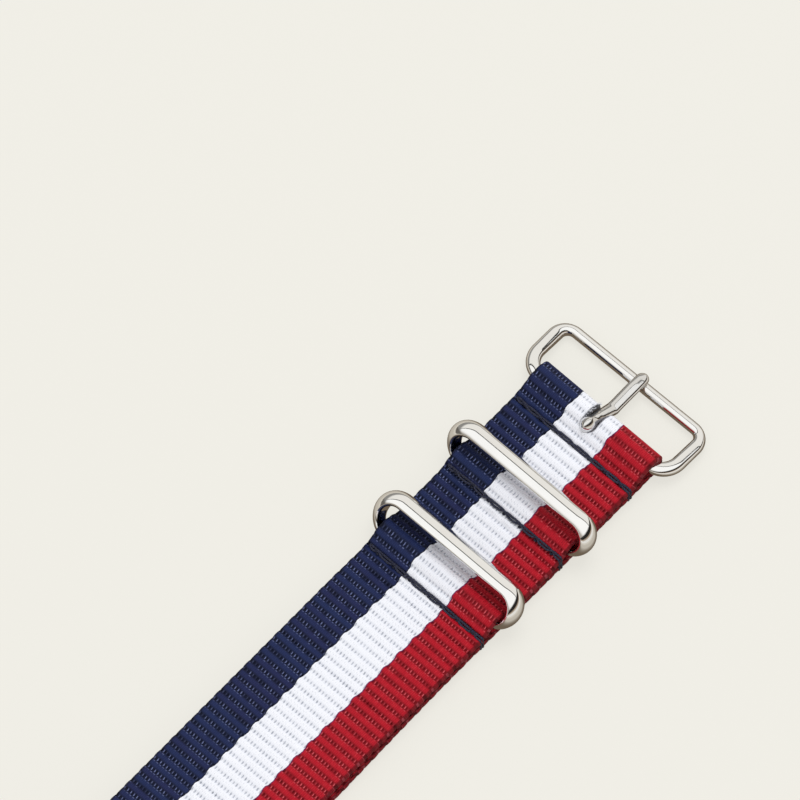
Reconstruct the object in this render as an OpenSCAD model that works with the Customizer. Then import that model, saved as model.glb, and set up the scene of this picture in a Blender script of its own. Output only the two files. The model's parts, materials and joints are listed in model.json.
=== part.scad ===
// Woven nylon watch strap with a wire buckle, a tongue and three keepers.
// X runs along the strap with the buckle at the high end, Y runs across it, Z is up.
// The strap lies flat on Z = 0, centred on the origin. Places along it are measured
// from the buckle's rear bar toward the tail.

/* [Webbing] */
// Width of the webbing, which is the lug width of the watch
strap_w = 20; // [16:1:26]
// Thickness of one layer
web_t = 1.3; // [1.1:0.1:1.5]
// Last bend to the tip of the tail
end_l = 20; // [16:1:40]
// Colour of each stripe, from the +Y edge to the -Y edge
stripes = ["#232b52", "#eef0f8", "#bd1726"];

/* [Buckle] */
// Diameter of the rear bar inside the fold
rear_bar_d = 1.6; // [1.2:0.1:1.8]
// Diameter of the front bar that the tongue rests on
front_bar_d = 1.45; // [1.2:0.05:1.6]
// Diameter of the side arms
arm_d = 1.9; // [1.7:0.1:2]
// Rear bar to front bar, centre to centre
bar_gap = 8.3; // [8:0.1:10]
// Play between each arm and the edge of the webbing
arm_play = 1.1; // [0.8:0.05:1.4]
// Radius of the wire's bends, at the middle of the wire
bend_r = 3; // [2.6:0.1:3.4]
// Width of the tongue
tongue_w = 1.65; // [1.4:0.05:2]
// Thickness of the tongue
tongue_t = 0.9; // [0.7:0.05:1]
// How far the tongue sits from the middle of the strap
tongue_y = -0.1; // [-2:0.1:2]
// Play of the tongue in its slot, on each side
slot_play = 0.2; // [0.1:0.05:0.4]

/* [Keepers] */
// Width of the half-round wire
keeper_w = 2.5; // [2:0.1:2.8]
// Free height inside a keeper
keeper_h = 4; // [3.9:0.1:5]
// Play between each end of a keeper and the edge of the webbing
keeper_play = 0.7; // [0.4:0.05:1]
// Place of the first keeper's lower bar
keeper_1_at = 15; // [14:0.1:15.5]
// Place of the second keeper's lower bar
keeper_2_at = 28.9; // [27:0.1:29.4]
// Place of the loose keeper's lower bar, at the end of the short strap
keeper_3_at = 102; // [100:0.5:104]
// Lean of the first keeper toward the buckle
keeper_1_lean = 33; // [0:1:50]
// Lean of the second keeper toward the buckle
keeper_2_lean = 45; // [0:1:55]

/* [Stitching] */
// Place of each stitch row in the sewn head
stitch_rows = [4.3, 17.3, 32];
// Distance from a keeper's bar back to the stitch row of the short strap's end
end_row_back = 5.5; // [5.2:0.1:7]
// Length of one stitch
stitch_l = 2.7; // [2:0.1:3.2]
// Diameter of the thread
thread_d = 0.45; // [0.3:0.05:0.6]

/* [Tail holes] */
// Diameter of a hole
hole_d = 2; // [1.6:0.1:2.4]
// Distance from hole to hole
hole_pitch = 7; // [6:0.5:7]
// Holes in each of the three pierced lengths of the tail
holes_each = 3; // [1:1:3]

/* [Bending places] */
// Place of the first bend behind the sewn head
bend_start = 37; // [36.5:0.1:38]
// Distance between the bends where both layers run together
pair_pitch = 22; // [20:0.5:22.5]
// Place of the first bend of the tail
tail_start = 124; // [123:0.5:126]
// Distance between the bends of the tail
tail_pitch = 21; // [20:0.5:26]

/* [Hidden] */
$fn = 64;

steel = "#d6d4cf";
thread = "#1c2140";

run_gap = 0.05;                              // running clearance of a bar in its hole
bar_r = rear_bar_d/2 + run_gap;              // hole round the rear bar
fold_r = bar_r + web_t;                      // outside of the fold
pocket_r = keeper_w/2 + run_gap;             // hole round a keeper's lower bar
end_r = keeper_h/2;                          // round ends of a keeper, at its flat side
edge_rise = end_r - sqrt(end_r^2 - (end_r - keeper_play)^2);  // flat side over the webbing's edge
pocket_mouth = norm([edge_rise, keeper_w/2]) + 0.15;          // holes flare at both edges
pocket_flare = end_r - keeper_play + 0.1;    // length of that flare
bar_mouth = arm_d/2 + 0.6;                   // the fold's hole flares round the frame's bends
bar_flare = bend_r - arm_play - arm_d/2 + 0.6;
pair_t = 2*web_t;                            // two layers
ramp_l = 4.6;                                // length of the slope beside a fold
bump_half = 3.2;                             // half length of the rise over a keeper's bar
step = 0.4;                                  // spacing of the points along a slope

arm_y = strap_w/2 + arm_play + arm_d/2;      // middle of a side arm
tilt = asin((fold_r - arm_d/2)/bar_gap);     // the frame's front corners lie on the surface
tongue_rest = front_bar_d/2 + tongue_t/2 + run_gap;  // middle of the tongue over the front bar
ring_r = rear_bar_d/2 + 2*run_gap + tongue_t/2;      // middle of the tongue's ring
kink = [2.7, ring_r + 0.45];                 // the tongue's side view bends here
turn = [bar_gap + 0.5, tongue_rest + 0.03];  // and turns down here, past the front bar
tip_x = bar_gap + 1.25;                      // middle of the tongue's rounded end
tip_z = 0.45;
reach = tip_x*cos(tilt) + tip_z*sin(tilt) + tongue_t/2;  // how far the tongue reaches
tails = 6;                                   // lengths between the first tail bend and the last
strap_l = tail_start + tails*tail_pitch + end_l;  // rear bar to the tip of the tail
bar_x = (strap_l - reach)/2;                 // rear bar in the part's frame
slot_under = ring_r + tongue_t/2 + 0.2;      // the slot clears the tongue's ring below
slot_top = slot_under + 0.9;                 // and runs further back on the upper side

last_pair = bend_start + 2*pair_pitch;       // last bend where both layers run together
end_row_at = keeper_3_at - end_row_back;     // stitch row of the short strap's end
row_margin = 0.5;                            // the rows stop short of the webbing's edges
turn_back = 10;                              // length turned back at the short strap's end
lay = 0.05;                                  // gap between layers that are not sewn
loose_rise = 0.4;                            // room over the loose keeper's flat side
loose_top = fold_r + loose_rise + 0.8*web_t; // the fold is drawn flat and thin over that keeper
crest_z = loose_top + lay;                   // the long strap's underside where it crosses
crest_lead = 2.2;                            // it is level this far before the slope's end
crest_b = keeper_3_at + 1.2;                 // and turns down behind the keeper
climb_l = 3.5;                               // length in which it climbs the turned back layer
climb_from = keeper_3_at - turn_back - climb_l;
climb_half = keeper_3_at - turn_back - 0.2;
slope_room = 6;                              // it is down on the surface this far before a bend
slope_end = tail_start - slope_room;

pierced = [2, 4];                            // first and last pierced length, counted from 0
tip_l = 13;                                  // length of the rounded tip
nose_gap = 0.05;                             // clearance of a rounded nose in its seat
lip_pair = 0.6;                              // the seat's lips stop short of the bend
lip_single = 0.3;

function ease(u) = (1 - cos(180*max(0, min(1, u))))/2;
function rise(s, at) = (2*fold_r - pair_t)*(1 - ease(abs(s - at)/ramp_l));
function bump(s, at) = (2*fold_r - pair_t)*(1 - ease(abs(s - at)/bump_half));
function head_top(s) = pair_t + rise(s, 0) + bump(s, keeper_1_at) + bump(s, keeper_2_at);
function long_bottom(s) = web_t
    + (web_t + lay)*ease((s - climb_from)/(climb_half - climb_from))
    + (crest_z - pair_t - lay)*ease((s - (keeper_3_at - ramp_l - crest_lead))/ramp_l)
    - crest_z*ease((s - crest_b)/(slope_end - crest_b));
function stops(a, b) = [for (s = [a:step:b - step/2]) s, b];

// Children of place() have the rear bar at X = 0.
module place() { translate([bar_x, 0, 0]) children(); }

// Runs a side view, drawn as X and Z, across the strap from y0 to y1.
module across(y0, y1) { translate([0, y1, 0]) rotate([90, 0, 0]) linear_extrude(y1 - y0) children(); }

module striped() {
    n = len(stripes);
    for (i = [0:n - 1])
        color(stripes[i]) across(strap_w/2 - (i + 1)*strap_w/n, strap_w/2 - i*strap_w/n) children();
}

// Side view of a length of webbing between two bends: a round nose and a hollow seat.
module flat_run(s0, s1, z0, z1, mid, r, lip) {
    difference() {
        union() {
            translate([-(s1 - lip), z0]) square([s1 - lip - s0, z1 - z0]);
            intersection() {
                translate([-s0, mid]) circle(r);
                translate([-s0, z0]) square([r, z1 - z0]);
            }
        }
        translate([-s1, mid]) circle(r + nose_gap);
    }
}

// Hole across the strap, flared at both edges.
module cross_hole(s, r, mouth, flare) {
    translate([-s, 0, fold_r]) rotate([90, 0, 0]) {
        cylinder(h = strap_w + 2, r = r, center = true);
        for (m = [0, 1]) mirror([0, 0, m]) {
            translate([0, 0, strap_w/2 - flare]) cylinder(h = flare, r1 = r, r2 = mouth);
            translate([0, 0, strap_w/2]) cylinder(h = 1, r = mouth);
        }
    }
}
module pocket(s) { cross_hole(s, pocket_r, pocket_mouth, pocket_flare); }

// The loose keeper's pocket is flat above, because that keeper leans only a little.
module loose_pocket() intersection() {
    pocket(keeper_3_at);
    translate([-keeper_3_at - 2*pocket_mouth, -strap_w, 0]) {
        cube([4*pocket_mouth, 2*strap_w, fold_r + loose_rise]);
        for (y = [0, strap_w*1.5 - pocket_flare]) translate([0, y, 0])
            cube([4*pocket_mouth, strap_w/2 + pocket_flare, fold_r + loose_rise + edge_rise]);
    }
}

// Straight length of the side view of the tongue, from p to q with round ends.
module limb(p, q) {
    d = q - p;
    translate(p) rotate(atan2(d[1], d[0])) {
        translate([0, -tongue_t/2]) square([norm(d), tongue_t]);
        circle(tongue_t/2);
    }
    translate(q) circle(tongue_t/2);
}

module wire(d, l) { rotate([90, 0, 0]) cylinder(h = l, d = d, center = true); }

module bend(a) {
    rotate([0, 0, a]) rotate_extrude(angle = 90) translate([bend_r, 0]) circle(d = arm_d);
}

module buckle_frame() color(steel) place() translate([0, 0, fold_r]) rotate([0, tilt, 0]) {
    straight_y = 2*(arm_y - bend_r);
    wire(rear_bar_d, straight_y);
    translate([bar_gap, 0, 0]) wire(front_bar_d, straight_y);
    for (m = [0, 1]) mirror([0, m, 0]) {
        translate([bend_r, arm_y, 0]) rotate([0, 90, 0]) cylinder(h = bar_gap - 2*bend_r, d = arm_d);
        translate([bend_r, arm_y - bend_r, 0]) bend(90);
        translate([bar_gap - bend_r, arm_y - bend_r, 0]) bend(0);
    }
}

module buckle_tongue() color(steel) place() translate([0, 0, fold_r]) rotate([0, tilt, 0])
    across(tongue_y - tongue_w/2, tongue_y + tongue_w/2) {
        difference() {
            union() {
                circle(ring_r + tongue_t/2);
                limb([0, ring_r], kink);
                limb(kink, turn);
                limb(turn, [tip_x, tip_z]);
            }
            circle(ring_r - tongue_t/2);
        }
    }

// Closed loop of half-round wire with its flat side inward. The middle of the lower bar's
// flat is at the origin, and the loop stands up along Z.
module keeper_loop() {
    straight = strap_w + 2*keeper_play - 2*end_r;
    module section() {
        intersection() {
            circle(d = keeper_w);
            translate([0, -keeper_w/2]) square([keeper_w/2, keeper_w]);
        }
    }
    for (up = [0, 1]) translate([0, 0, up*keeper_h]) rotate([0, up*180, 0])
        translate([0, straight/2, 0]) rotate([90, 90, 0]) linear_extrude(straight) section();
    for (m = [0, 1]) mirror([0, m, 0]) translate([0, straight/2, end_r])
        rotate([0, 90, 0]) rotate_extrude(angle = 180) translate([end_r, 0]) section();
}

module keeper(at, lean) color(steel) place() translate([-at, 0, fold_r]) rotate([0, lean, 0]) keeper_loop();

module keeper_1() keeper(keeper_1_at, keeper_1_lean);
module keeper_2() keeper(keeper_2_at, keeper_2_lean);
module keeper_3() keeper(keeper_3_at, 0);

// Side view of the hollow between the two layers beside a fold that is top high.
module fold_hollow(top) {
    s_list = stops(0, ramp_l - 1);
    polygon(concat([for (s = s_list) [-s, min(pair_t + rise(s, 0), top) - web_t]],
                   [[-(ramp_l - 1), web_t], [0, web_t]]));
}

// Side view of a fold round a bar, top high, with its two layers running out to s = l.
module fold_side(l, top) {
    intersection() {
        translate([0, fold_r]) circle(fold_r);
        translate([-fold_r, 0]) square([2*fold_r, top]);
    }
    s_list = stops(0, l);
    polygon(concat([for (s = s_list) [-s, min(pair_t + rise(s, 0), top)]], [[-l, 0], [0, 0]]));
}

module sewn_head() place() difference() {
    striped() difference() {
        union() {
            fold_side(ramp_l, 2*fold_r);
            s_list = stops(ramp_l, bend_start - lip_pair);
            polygon(concat([for (s = s_list) [-s, head_top(s)]],
                           [[-(bend_start - lip_pair), 0], [-ramp_l, 0]]));
        }
        fold_hollow(2*fold_r);
        translate([-bend_start, web_t]) circle(web_t + nose_gap);
    }
    cross_hole(0, bar_r, bar_mouth, bar_flare);
    pocket(keeper_1_at);
    pocket(keeper_2_at);
    slot_w = tongue_w + 2*slot_play;
    translate([0, tongue_y - slot_w/2, 0]) {
        translate([-slot_top, 0, fold_r]) cube([slot_top + fold_r + 1, slot_w, fold_r + 1]);
        translate([-slot_under, 0, -1]) cube([slot_under + fold_r + 1, slot_w, fold_r + 2]);
    }
}

// Row of lock stitches through both layers, at height top on its upper side.
module stitch_row(at, top) color(thread) place() {
    low = thread_d/2 + 0.1;
    edge = strap_w/2 - row_margin;
    n = round(2*edge/stitch_l);
    for (i = [0:n]) translate([-at, -edge + i*2*edge/n, low]) cylinder(h = top - low, d = thread_d);
    for (z = [low, top]) translate([-at, 0, z]) {
        wire(thread_d, 2*edge);
        for (m = [-1, 1]) translate([0, m*edge, 0]) sphere(d = thread_d);
    }
}

module stitch_row_1() stitch_row(stitch_rows[0], head_top(stitch_rows[0]));
module stitch_row_2() stitch_row(stitch_rows[1], head_top(stitch_rows[1]));
module stitch_row_3() stitch_row(stitch_rows[2], head_top(stitch_rows[2]));
module stitch_row_4() stitch_row(end_row_at, pair_t - thread_d/2 - lay);

module short_run(i) place() striped()
    flat_run(bend_start + i*pair_pitch, bend_start + (i + 1)*pair_pitch, 0, web_t, web_t, web_t, lip_pair);
module short_strap_1() short_run(0);
module short_strap_2() short_run(1);

module short_strap_end() place() difference() {
    striped() {
        intersection() {
            translate([-last_pair, web_t]) circle(web_t);
            translate([-last_pair, 0]) square([web_t, web_t]);
        }
        translate([-keeper_3_at, 0]) square([keeper_3_at - last_pair, web_t]);
        translate([-keeper_3_at, 0]) mirror([1, 0]) difference() {
            fold_side(turn_back, loose_top);
            fold_hollow(loose_top);
        }
    }
    loose_pocket();
}

module long_run(i) place() striped()
    flat_run(bend_start + i*pair_pitch, bend_start + (i + 1)*pair_pitch,
             web_t, pair_t, web_t, web_t, lip_pair);
module long_strap_1() long_run(0);
module long_strap_2() long_run(1);

module long_strap_crossing() place() striped() {
    s_list = stops(last_pair, tail_start - lip_single);
    difference() {
        union() {
            intersection() {
                translate([-last_pair, web_t]) circle(web_t);
                translate([-last_pair, web_t]) square([web_t, web_t]);
            }
            polygon(concat([for (s = s_list) [-s, long_bottom(s) + web_t]],
                           [for (i = [len(s_list) - 1:-1:0])
                               [-s_list[i], long_bottom(s_list[i])]]));
        }
        translate([-tail_start, web_t/2]) circle(web_t/2 + nose_gap);
    }
}

module tail_run(i) place() {
    s0 = tail_start + i*tail_pitch;
    difference() {
        striped() flat_run(s0, s0 + tail_pitch, 0, web_t, web_t/2, web_t/2, lip_single);
        if (i >= pierced[0] && i <= pierced[1])
            for (k = [0:holes_each - 1])
                translate([-(s0 + tail_pitch/2 + (k - (holes_each - 1)/2)*hole_pitch), 0, -1])
                    cylinder(h = web_t + 2, d = hole_d);
    }
}
module tail_1() tail_run(0);
module tail_2() tail_run(1);
module tail_3() tail_run(2);
module tail_4() tail_run(3);
module tail_5() tail_run(4);
module tail_6() tail_run(5);

module tail_tip() place() {
    s0 = tail_start + tails*tail_pitch;
    half = strap_w/2;
    arc = [for (a = [-90:6:90]) [-(strap_l - tip_l) - tip_l*cos(a), half*sin(a)]];
    intersection() {
        striped() flat_run(s0, strap_l + 1, 0, web_t, web_t/2, web_t/2, 0);
        translate([0, 0, -1]) linear_extrude(web_t + 2)
            polygon(concat(arc, [[-s0 + web_t, half], [-s0 + web_t, -half]]));
    }
}

buckle_frame();
buckle_tongue();
keeper_1();
keeper_2();
keeper_3();
sewn_head();
stitch_row_1();
stitch_row_2();
stitch_row_3();
stitch_row_4();
short_strap_1();
short_strap_2();
short_strap_end();
long_strap_1();
long_strap_2();
long_strap_crossing();
tail_1();
tail_2();
tail_3();
tail_4();
tail_5();
tail_6();
tail_tip();
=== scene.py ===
import bpy
import json
import math
import numpy as np
from mathutils import Matrix, Vector


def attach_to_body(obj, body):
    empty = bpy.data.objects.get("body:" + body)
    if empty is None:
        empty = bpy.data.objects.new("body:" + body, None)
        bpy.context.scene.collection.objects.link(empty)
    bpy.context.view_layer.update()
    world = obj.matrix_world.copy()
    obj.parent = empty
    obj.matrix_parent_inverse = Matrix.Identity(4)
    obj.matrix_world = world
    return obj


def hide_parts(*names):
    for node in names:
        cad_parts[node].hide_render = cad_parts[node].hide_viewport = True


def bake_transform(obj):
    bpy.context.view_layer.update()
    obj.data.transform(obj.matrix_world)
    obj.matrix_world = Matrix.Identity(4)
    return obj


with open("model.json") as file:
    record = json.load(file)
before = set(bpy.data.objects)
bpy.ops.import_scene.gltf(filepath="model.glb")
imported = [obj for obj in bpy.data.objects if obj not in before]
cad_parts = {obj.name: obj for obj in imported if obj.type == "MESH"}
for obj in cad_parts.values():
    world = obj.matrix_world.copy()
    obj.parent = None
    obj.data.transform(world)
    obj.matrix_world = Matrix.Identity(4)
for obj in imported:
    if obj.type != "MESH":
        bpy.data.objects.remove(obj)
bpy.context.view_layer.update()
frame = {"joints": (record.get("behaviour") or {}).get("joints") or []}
mm = 0.001
joints = {j["name"]: j for j in frame["joints"]}
barX = joints["buckle_swing"]["pos_m"][0] / mm  # the rear bar, where the places along the strap start
barZ = joints["buckle_swing"]["pos_m"][2] / mm


def placeOf(joint):
    return barX - joints[joint]["pos_m"][0] / mm


def linear(colour):
    parts = [int(colour[i:i + 2], 16) / 255 for i in (1, 3, 5)]
    return tuple(c / 12.92 if c < 0.04045 else ((c + 0.055) / 1.055) ** 2.4 for c in parts) + (1.0,)


def addObject(name, data):
    made = bpy.data.objects.new(name, data)
    bpy.context.collection.objects.link(made)
    return made


def cosSin(degrees):
    return math.cos(math.radians(degrees)), math.sin(math.radians(degrees))


class Shade:  # one socket of a node tree, so that shader maths reads as plain sums
    def __init__(self, tree, socket=None):
        self.tree, self.socket = tree, socket

    def node(self, kind, sockets, out=0, **settings):
        made = self.tree.nodes.new("ShaderNode" + kind)
        for key, value in settings.items():
            setattr(made, key, value)
        for key, value in sockets.items():
            if isinstance(value, Shade):
                self.tree.links.new(value.socket, made.inputs[key])
            else:
                made.inputs[key].default_value = linear(value) if isinstance(value, str) else value
        return Shade(self.tree, made.outputs[out])

    def maths(self, operation, *terms):
        return self.node("Math", dict(enumerate(terms)), operation=operation)

    def __add__(self, other): return self.maths("ADD", self, other)
    def __sub__(self, other): return self.maths("SUBTRACT", self, other)
    def __rsub__(self, other): return self.maths("SUBTRACT", other, self)
    def __mul__(self, other): return self.maths("MULTIPLY", self, other)
    def __truediv__(self, other): return self.maths("DIVIDE", self, other)
    def __rtruediv__(self, other): return self.maths("DIVIDE", other, self)
    def __pow__(self, other): return self.maths("POWER", self, other)
    def __mod__(self, other): return self.maths("FLOORED_MODULO", self, other)
    def __gt__(self, other): return self.maths("GREATER_THAN", self, other)
    def __abs__(self): return self.maths("ABSOLUTE", self)
    __radd__, __rmul__ = __add__, __mul__

    def soft(self, low, high):  # smooth change from 0 to 1 between two values
        return self.node("MapRange", {"Value": self, "From Min": low, "From Max": high},
                         interpolation_type="SMOOTHSTEP")

    def value(self, name, out="Vector"):  # what addValues gave to the points
        return self.node("Attribute", {}, out, attribute_name=name)

    def parts(self, axes="XYZ"):
        return [self.node("SeparateXYZ", {0: self}, axis) for axis in axes]

    def noise(self, vector, scale=1.0, detail=2.0):
        return self.node("TexNoise", {"Vector": vector, "Scale": scale, "Detail": detail}, "Fac")

    def vector(self, x, y, z=0.0):
        return self.node("CombineXYZ", {"X": x, "Y": y, "Z": z})

    def bump(self, height, distance, strength=0.7):
        return self.node("Bump", {"Strength": strength, "Distance": distance, "Height": height})

    def glow(self, colour, strength=1.0, kind="Background"):
        return self.node(kind, {"Color": colour, "Strength": strength})

    def rays(self, *kinds):
        return [self.node("LightPath", {}, "Is %s Ray" % kind) for kind in kinds]

    def chance(self, *places):  # a random value for each whole place
        return self.node("TexWhiteNoise", {"Vector": self.vector(*places)}, "Value",
                         noise_dimensions="%dD" % len(places))

    def mix(self, a, b, factor, how="MIX"):
        return self.node("Mix", {0: factor, 6: a, 7: b}, 2, data_type="RGBA", blend_type=how, clamp_factor=True)

    def layered(self, colour, *layers):  # each layer is a colour and its share
        for tone, share in layers:
            colour = self.mix(colour, tone, share)
        return colour


def newFinish(name):
    finish = bpy.data.materials.new(name)
    finish.use_nodes = True
    finish.node_tree.nodes.clear()
    return finish, Shade(finish.node_tree)


def plug(shade, shader, output="OutputMaterial"):
    shade.tree.links.new(shader.socket, shade.tree.nodes.new("ShaderNode" + output).inputs["Surface"])


def surface(shade, sockets):
    plug(shade, shade.node("BsdfPrincipled", sockets, "BSDF"))


# Camera and light

photo = {
    "size": 800, "scale": 7.89,  # pixels, and pixels for each millimetre
    "right": (0.6756, -0.7373, 0.0), "back": (-0.295, -0.270, 0.9165),
    "mark": (2.05, 10.0, 2.81), "markAt": (542.4, 360),  # the fold's corner, from the rear bar
    "away": 2.6,  # metres from the strap, as a long lens stands
}
right = Vector(photo["right"]).normalized()
back = Vector(photo["back"]).normalized()
up = back.cross(right).normalized()
mark = Vector((barX + photo["mark"][0], photo["mark"][1], photo["mark"][2]))
half = photo["size"] / 2
aim = (mark - right * ((photo["markAt"][0] - half) / photo["scale"])
       - up * ((half - photo["markAt"][1]) / photo["scale"])) * mm
lens = bpy.data.cameras.new("longLens")
lens.sensor_width = 36
lens.lens = 36 * photo["away"] / (photo["size"] / photo["scale"] * mm)
lens.clip_end = 20
cameraObject = addObject("camera", lens)
cameraObject.matrix_world = Matrix.Translation(aim + back * photo["away"]) @ Matrix(
    (right, up, right.cross(up))).transposed().to_4x4()
bpy.context.scene.camera = cameraObject
bpy.context.scene.view_settings.view_transform = "Standard"

light = {
    "paper": "#efede5", "paperGrain": "#edebe3",
    "paperOwn": 0.8,  # share of the floor's shadow that its own paleness hides
    "dome": 0.735, "reflected": 1.04, "lowest": 0.04,
    "boxEdge": 0.37, "boxRim": 0.13, "boxSkew": 0.6,  # the overhead lamp box, as the metal mirrors it
    "box": (1.0, 1.0, 0.99, 1), "room": (0.85, 0.83, 0.79, 1), "dark": (0.02, 0.018, 0.016, 1),
    "dusk": (0.42, 0.385, 0.34, 1), "wood": (0.40, 0.31, 0.23, 1), "ledge": (0.80, 0.78, 0.74, 1),
    "duskAt": (0.8, 2.8), "darkAt": (0.9, 1.2), "woodAt": (2.0, 2.6), "ledgeAt": (3.0, 4.2),
    "northAt": (1.6, 3.0), "northDark": 0.7,
    "under": ("#6f6253", "#c6bfb3", "#d8d2c6"),  # the paper as the metal mirrors it, a painted reflection with painted shadow beside the strap: beside the strap, near, far
    "nearAt": (0.0, 0.009), "farAt": (0.012, 0.05), "strapEnd": 0.139, "strapSide": 0.0125,
    "key": 4.0, "keySize": 0.8, "keyFrom": (0.35, 0.12, 1.1),
}
world = bpy.data.worlds.new("studio")
world.use_nodes = True
world.node_tree.nodes.clear()
bpy.context.scene.world = world
sky = Shade(world.node_tree)
east, north, high = sky.node("TexCoord", {}, "Generated").parts()
low = sky.maths("MAXIMUM", high, light["lowest"])
toEast, toNorth = east / low, north / low  # places on a level ceiling
toSouth = 0 - toNorth
acrossBox = toEast + toNorth * light["boxSkew"]
boxEdge, rimEdge = light["boxEdge"], light["boxEdge"] + light["boxRim"]
pastBox = acrossBox.soft(boxEdge - 0.02, boxEdge + 0.02)
boxRim = pastBox * (1 - acrossBox.soft(rimEdge - 0.03, rimEdge + 0.05))
sides = sky.maths("MAXIMUM", toSouth.soft(*light["darkAt"]), toNorth.soft(*light["northAt"]) * light["northDark"])
mirror = sky.layered(
    light["box"], (light["room"], pastBox), (light["dusk"], (0 - toEast).soft(*light["duskAt"])),
    (light["dark"], sky.maths("MAXIMUM", boxRim, sides)), (light["wood"], toSouth.soft(*light["woodAt"])),
    (light["ledge"], toSouth.soft(*light["ledgeAt"])))
seen, glossy, through = sky.rays("Camera", "Glossy", "Transmission")
lit = sky.glow((1, 1, 1, 1), light["dome"])
mirrored = sky.glow(mirror, light["reflected"])
paper = sky.glow(light["paper"])
ground = sky.node("MixShader", {0: sky.maths("MAXIMUM", glossy, through), 1: lit, 2: mirrored})
plug(sky, sky.node("MixShader", {0: seen, 1: ground, 2: paper}), "OutputWorld")

keyFrom = Vector(light["keyFrom"])
lamp = bpy.data.lights.new("keyLamp", "AREA")
lamp.shape, lamp.size = "DISK", light["keySize"]
lamp.energy = light["key"] * keyFrom.length_squared
lampObject = addObject("keyLamp", lamp)
lampObject.location = Vector(aim) + keyFrom
lampObject.rotation_euler = (Vector(aim) - lampObject.location).to_track_quat("-Z", "Y").to_euler()
lampObject.visible_glossy = False  # the world is what the metal mirrors

floorMesh = bpy.data.meshes.new("floor")
floorMesh.from_pydata([(x, y, -0.00003) for x, y in ((-6, -6), (6, -6), (6, 6), (-6, 6))], [], [(0, 1, 2, 3)])
floor = addObject("floor", floorMesh)
floorFinish, shade = newFinish("palePaper")
spot = shade.node("TexCoord", {}, "Object")
grain = shade.noise(spot, 900.0, 3.0)
sheet = shade.node("BsdfPrincipled", {
    "Base Color": shade.mix(light["paper"], light["paperGrain"], grain),
    "Roughness": 0.9, "Specular IOR Level": 0.0}, "BSDF")
pale = shade.glow(light["paper"], kind="Emission")
seen, glossy = shade.rays("Camera", "Glossy")
along, across = spot.parts("XY")
# the metal sees the paper as a glow: painted reflection, with painted shadow darkest beside the strap and fading out
# away from it
away = shade.maths("MAXIMUM", abs(across) - light["strapSide"], abs(along) - light["strapEnd"])
shadowedBeside, near, distant = light["under"]
tone = shade.layered(shadowedBeside, (near, away.soft(*light["nearAt"])), (distant, away.soft(*light["farAt"])))
under = shade.glow(tone, kind="Emission")
laid = shade.node("MixShader", {0: seen * light["paperOwn"], 1: sheet, 2: pale})
plug(shade, shade.node("MixShader", {0: glossy, 1: laid, 2: under}))
floorMesh.materials.append(floorFinish)
print("camera, light and floor are set")


# Webbing

webbing = {
    "width": 20.0, "thick": 1.3, "slack": 0.03,
    "rib": 1.38, "bandAt": 38.4,  # rib to rib, and where one band of pits lies
    "warp": 0.51, "slant": 0.12,  # pit to pit across, and their slant
    "crown": 0.58, "ribDeep": 0.19, "uneven": 0.03, "lowest": 0.015,
    "pit": (0.25, 0.11), "pitDeep": 0.16, "crease": (0.13, 0.09), "creaseDeep": 0.035,
    "rimRound": 0.31, "rimScallop": 0.05, "rimPairs": 0.05, "rimTurns": (66, 33, 0, -33, -66),
    "wall": ((0.2, 0.05), (0.5, 0.08), (0.8, 0.05)),  # depth and bulge of a cut's molten wall
    "rows": (0.0, 0.13, 0.27, 0.45, 0.69, 0.93, 1.11, 1.25), "column": 0.1275,  # the mesh lines of a rib, and across
    "hole": 1.0, "holePitch": 7.0, "holeMiddle": 197.5, "holes": 9,
    "slotHalf": 1.0, "slotY": -0.22, "slotTop": 1.95, "slotUnder": 2.0,
    "tip": 13.0, "cutsAt": (34.3, 48, 70, 87, 134.5, 155.5, 173, 194, 215, 239.5), "foldEnd": 6.8,
}
course = {  # how the band lies, in places from the rear bar
    "foldRise": 4.6, "keeperRise": 3.9,  # half lengths of its waves at the fold and the keepers
    "sewn": 37, "loose": 0.28, "opens": (33, 7), "closes": (83, 6),  # the layers part a little past the sewn head
    "steps": ((1.35, 88.5, 3.3), (0.99, 6.8, 4.6), (3.64, 1.2, 14.8)),  # up to keeper 3, over it and down
    "endLoop": 3.59, "barRoom": 1.32, "barTop": (9, 9, 2.58),  # room for each keeper's lower bar
    "aside": (-0.55, 36, 40),  # the lower layer lies a little to one side of the upper one
}
stitching = {
    "rows": (4.3, 17.3, 32.0), "endRow": 96.5,
    "needles": (9.5, 7.9, 5.2, 2.5, -0.2, -2.9, -5.6, -8.3),  # where the thread goes down, from edge to edge
    "thread": 0.15, "through": 0.19, "twist": 0.42, "apart": 0.2, "dodge": 0.14, "wander": 0.035,
    "deep": 0.4, "wide": 0.42, "swell": 0.17,
    "over": ((0.12, -0.14), (0.35, -0.08), (0.7, -0.1), (1.0, -0.16)),  # round the edge: share of the way, inward
}
rib, bandAt, warp = webbing["rib"], webbing["bandAt"], webbing["warp"]
sideY = webbing["width"] / 2
foldR = barZ  # outside of the folds
pair = 2 * webbing["thick"]
keeperAt = [placeOf("keeper_%d_swing" % n) for n in (1, 2, 3)]
tailEnd = placeOf("bend_10") + 20.0
rng = np.random.default_rng(11)
ribLuck = rng.random(1024)
pitLuck = rng.random((1024, 64))


def ease(u):
    return (1 - np.cos(np.pi * np.clip(u, 0, 1))) / 2


def bell(x, width):
    return np.exp(-(x / width) ** 2)


def rise(s, at, length):
    return (2 * foldR - pair) * (1 - ease(np.abs(s - at) / length))


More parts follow.
